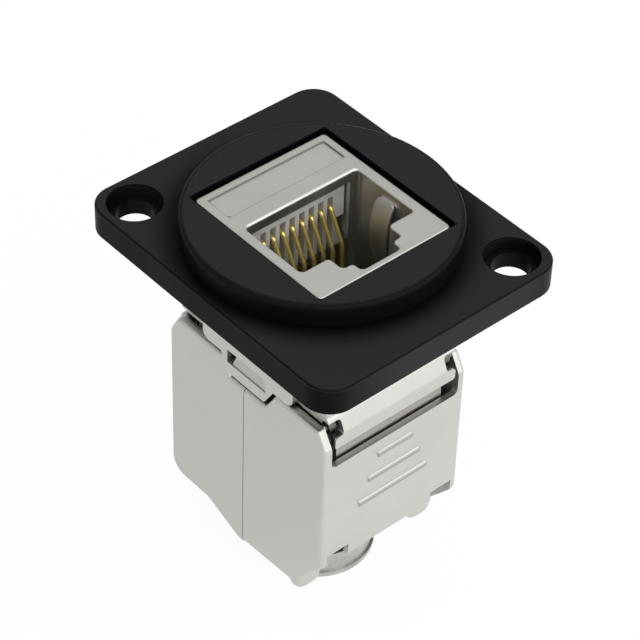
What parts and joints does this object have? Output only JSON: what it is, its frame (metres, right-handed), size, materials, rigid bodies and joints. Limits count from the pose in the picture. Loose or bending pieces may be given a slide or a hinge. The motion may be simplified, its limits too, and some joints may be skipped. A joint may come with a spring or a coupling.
{
  "type": "panel-mount shielded network jack, square flange with a snap-in keystone jack",
  "caption": "Shielded 8-contact network jack snapped into a black square panel flange, with two hinged metal wings and a cable collar behind.",
  "frame": {"origin": "centre of the flange's back face, midway between its two screw holes", "axes": "+Z out of the socket's front, +X along the flange's short side, +Y along its long side towards the label side of the jack"},
  "size_m": [0.025, 0.03, 0.0369],
  "materials": {
    "black_plastic": "satin moulded plastic",
    "nickel_casting": "satin nickel on die-cast zinc",
    "nickel_collar": "bright nickel",
    "spring_steel": "rolled strip",
    "grey_plastic": "light grey moulded",
    "smoke_plastic": "dark smoke grey",
    "block_plastic": "dark moulded",
    "board_laminate": "green solder mask",
    "gold_contact": "gold-plated wire",
    "blade_bronze": "tin-plated bronze"
  },
  "bodies": {
    "root": {"panel_flange": "black_plastic", "front_housing": "nickel_casting", "cable_collar": "nickel_collar", "shield_spring_left": "spring_steel", "shield_spring_right": "spring_steel", "contact_carrier": "grey_plastic", "contact_comb": "grey_plastic", "circuit_board": "board_laminate", "blade_block": "block_plastic", "wire_cap": "smoke_plastic", "contact_1": "gold_contact", "contact_2": "gold_contact", "contact_3": "gold_contact", "contact_4": "gold_contact", "contact_5": "gold_contact", "contact_6": "gold_contact", "contact_7": "gold_contact", "contact_8": "gold_contact", "wire_blade_1": "blade_bronze", "wire_blade_2": "blade_bronze", "wire_blade_3": "blade_bronze", "wire_blade_4": "blade_bronze", "wire_blade_5": "blade_bronze", "wire_blade_6": "blade_bronze", "wire_blade_7": "blade_bronze", "wire_blade_8": "blade_bronze"},
    "latch_side_wing": {"latch_side_wing": "nickel_casting"},
    "label_side_wing": {"label_side_wing": "nickel_casting"},
    "keystone_latch": {"keystone_latch": "spring_steel"}
  },
  "joints": [
    {"name": "latch_side_wing_hinge", "type": "hinge", "parent": "root", "child": "latch_side_wing", "pos_m": [0, -0.0084, -0.00915], "axis": [-1, 0, 0], "range_deg": [0, 90]},
    {"name": "label_side_wing_hinge", "type": "hinge", "parent": "root", "child": "label_side_wing", "pos_m": [0, 0.00865, -0.00945], "axis": [1, 0, 0], "range_deg": [0, 90]},
    {"name": "keystone_latch_flex", "type": "hinge", "parent": "root", "child": "keystone_latch", "pos_m": [0, 0.00725, -0.0076], "axis": [1, 0, 0], "range_deg": [0, 8], "stiffness_Nm_per_rad": 0.01}
  ]
}
